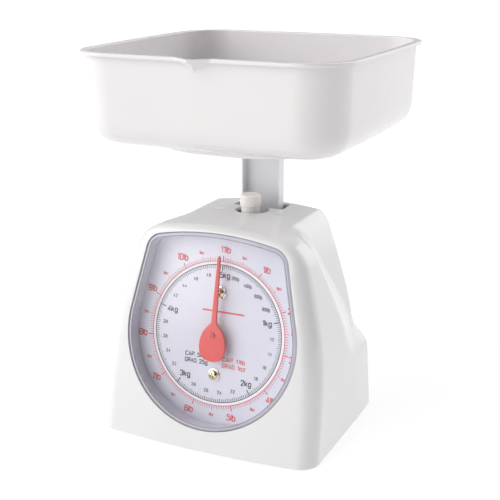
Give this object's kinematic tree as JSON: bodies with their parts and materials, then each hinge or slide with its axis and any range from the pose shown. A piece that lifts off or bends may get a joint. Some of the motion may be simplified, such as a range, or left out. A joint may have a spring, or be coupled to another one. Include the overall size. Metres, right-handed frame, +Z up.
{
  "type": "mechanical dial platform scale",
  "caption": "Spring platform scale: round dial with a needle behind a clear cover in a tapering housing, and a square lift-off weighing bowl on a column.",
  "frame": {"origin": "centre of the bounding box at floor level, under the feet", "axes": "+X to the reader's right, -Y towards the reader of the dial, +Z up"},
  "size_m": [0.1824, 0.1884, 0.2473],
  "materials": {
    "white_gloss": "glossy moulded white plastic",
    "grey_plastic": "plain moulded plastic",
    "column_grey": "satin light grey",
    "rubber": "soft matt rubber",
    "clear": "clear moulded plastic",
    "dial_print": "printed semi-gloss sheet",
    "coral": "moulded coral red plastic",
    "steel": "zinc-plated steel",
    "brass": "machined brass"
  },
  "bodies": {
    "base": {"base_plate": "grey_plastic", "base_screw_front_left": "steel", "base_screw_front_right": "steel", "base_screw_rear_left": "steel", "base_screw_rear_right": "steel", "bearing_spacer_left": "steel", "bearing_spacer_right": "steel", "dial_plate": "dial_print", "dial_post_lower": "steel", "dial_post_upper": "steel", "dial_screw_lower": "steel", "dial_screw_upper": "steel", "dial_washer_lower": "steel", "dial_washer_upper": "steel", "dial_window": "clear", "foot_front_left": "rubber", "foot_front_right": "rubber", "foot_rear_left": "rubber", "foot_rear_right": "rubber", "frame_screw_left": "steel", "frame_screw_right": "steel", "housing": "white_gloss", "lower_pivot_pin": "steel", "mechanism_frame": "steel", "movement_plate": "steel", "rack_guide": "grey_plastic", "rear_bearing_plate": "steel", "shaft_bushing": "brass", "upper_pivot_pin": "steel", "zero_washer": "steel"},
    "pointer": {"pointer": "coral", "pointer_rivet": "coral", "pointer_shaft": "steel", "pinion": "brass"},
    "rack": {"rack": "brass"},
    "platform": {"column": "column_grey", "column_head": "column_grey", "platform_plate": "white_gloss", "platform_screw_left": "steel", "platform_screw_right": "steel", "carriage_arm": "steel", "column_pin_upper": "steel", "column_pin_lower": "steel"},
    "upper_link": {"upper_link": "steel"},
    "lower_link": {"lower_link": "steel"},
    "zero_knob": {"zero_knob": "white_gloss", "zero_screw": "steel"},
    "spring_hanger": {"spring_hanger": "steel", "main_spring_left": "steel", "main_spring_right": "steel"},
    "bowl": {"bowl": "white_gloss"}
  },
  "joints": [
    {"name": "platform_travel", "type": "slide", "parent": "base", "child": "platform", "axis": [0, 0, -1], "range_m": [0, 0.02], "stiffness_N_per_m": 2450, "springref_m": -0.003, "deforming": ["main_spring_left", "main_spring_right"]},
    {"name": "bowl_lift", "type": "slide", "parent": "platform", "child": "bowl", "axis": [0, 0, 1], "range_m": [0, 0.06]},
    {"name": "pointer_spin", "type": "hinge", "parent": "base", "child": "pointer", "pos_m": [0, -0.0591, 0.0704], "axis": [0, 0.9797, -0.2004], "range_deg": [0, 360]},
    {"name": "rack_travel", "type": "slide", "parent": "base", "child": "rack", "axis": [0, -0.2004, -0.9797], "range_m": [0, 0.0205]},
    {"name": "upper_link_swing", "type": "hinge", "parent": "base", "child": "upper_link", "pos_m": [0, -0.0315, 0.094], "axis": [-1, 0, 0], "range_deg": [0, 27]},
    {"name": "lower_link_swing", "type": "hinge", "parent": "base", "child": "lower_link", "pos_m": [0, -0.0315, 0.04], "axis": [-1, 0, 0], "range_deg": [0, 27]},
    {"name": "zero_knob_turn", "type": "hinge", "parent": "base", "child": "zero_knob", "pos_m": [0, -0.0085, 0.145], "axis": [0, 0, 1], "range_deg": [-360, 360]},
    {"name": "hanger_travel", "type": "slide", "parent": "base", "child": "spring_hanger", "axis": [0, 0, 1], "range_m": [-0.001, 0.001]}
  ],
  "couplings": [
    {"joint": "pointer_spin", "follows": "platform_travel", "rad_per_m": 314.1},
    {"joint": "rack_travel", "follows": "platform_travel", "ratio": 1.0207},
    {"joint": "upper_link_swing", "follows": "platform_travel", "rad_per_m": 23.374},
    {"joint": "lower_link_swing", "follows": "platform_travel", "rad_per_m": 23.374},
    {"joint": "zero_knob_turn", "follows": "hanger_travel", "rad_per_m": 6280}
  ]
}
